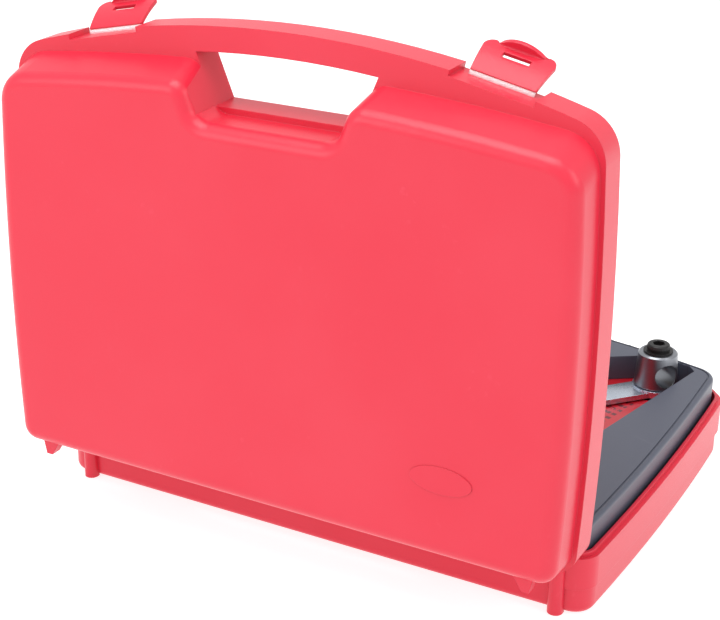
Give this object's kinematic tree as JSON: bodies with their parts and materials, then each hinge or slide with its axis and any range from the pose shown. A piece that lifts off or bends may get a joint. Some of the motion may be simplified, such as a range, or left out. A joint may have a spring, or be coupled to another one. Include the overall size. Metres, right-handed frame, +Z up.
{
  "type": "tube tester",
  "caption": "Portable bench tester in a hinged red plastic case: a pointer arm with a tube clamp swings over a scale in a black deck.",
  "frame": {"origin": "on the floor under the middle of the case base, halfway between rear edge and front bow", "axes": "+X along the hinge line, +Y towards the hinge and the open lid, +Z up"},
  "size_m": [0.4, 0.3576, 0.3508],
  "materials": {
    "red_case": "satin",
    "clear_film": "gloss",
    "black_deck": "satin",
    "red_plate": "satin",
    "steel_arm": "brushed",
    "grey_post": "turned",
    "black_screw": "satin",
    "plain_steel": "plain",
    "cast_block": "as cast",
    "bronze_bush": "plain",
    "brass_pad": "plain"
  },
  "bodies": {
    "case_base": {"base_shell": "red_case", "hinge_pins": "plain_steel", "deck": "black_deck", "deck_screws": "plain_steel", "scale_plate": "red_plate", "plate_screws": "plain_steel", "bearing_block": "cast_block", "block_screws": "plain_steel", "lower_bush": "bronze_bush", "upper_bush": "bronze_bush", "thrust_washer": "plain_steel"},
    "case_lid": {"lid_shell": "red_case", "film_hinge_left": "clear_film", "film_hinge_right": "clear_film"},
    "left_latch": {"latch_left": "red_case"},
    "right_latch": {"latch_right": "red_case"},
    "swing_arm": {"pivot_spindle": "grey_post", "retaining_ring": "plain_steel", "pointer_arm": "steel_arm", "arm_disc": "steel_arm", "post_dowels": "plain_steel", "clamp_post": "grey_post", "screw_washer": "black_screw"},
    "pressure_pad": {"clamp_pad": "brass_pad"},
    "turning_screw": {"clamp_screw": "black_screw"}
  },
  "joints": [
    {"name": "lid_hinge", "type": "hinge", "parent": "case_base", "child": "case_lid", "pos_m": [0, 0.156, 0.04], "axis": [-1, 0, 0], "range_deg": [-90, 15]},
    {"name": "left_latch_fold", "type": "hinge", "parent": "case_lid", "child": "left_latch", "pos_m": [-0.12955, 0.164, 0.3314], "axis": [-0.9788, 0, -0.2047], "range_deg": [-30, 80]},
    {"name": "right_latch_fold", "type": "hinge", "parent": "case_lid", "child": "right_latch", "pos_m": [0.12955, 0.164, 0.3314], "axis": [-0.9788, 0, 0.2047], "range_deg": [-30, 80]},
    {"name": "arm_swing", "type": "hinge", "parent": "case_base", "child": "swing_arm", "pos_m": [-0.149, -0.1005, 0.041], "axis": [0, 0, 1], "range_deg": [-14, 28]},
    {"name": "pad_travel", "type": "slide", "parent": "swing_arm", "child": "pressure_pad", "axis": [0, 0, 1], "range_m": [0, 0.006]},
    {"name": "screw_turn", "type": "hinge", "parent": "pressure_pad", "child": "turning_screw", "pos_m": [-0.149, -0.1005, 0.07], "axis": [0, 0, 1], "range_deg": [0, 1440]}
  ],
  "couplings": [
    {"joint": "screw_turn", "follows": "pad_travel", "rad_per_m": 4188.8}
  ]
}
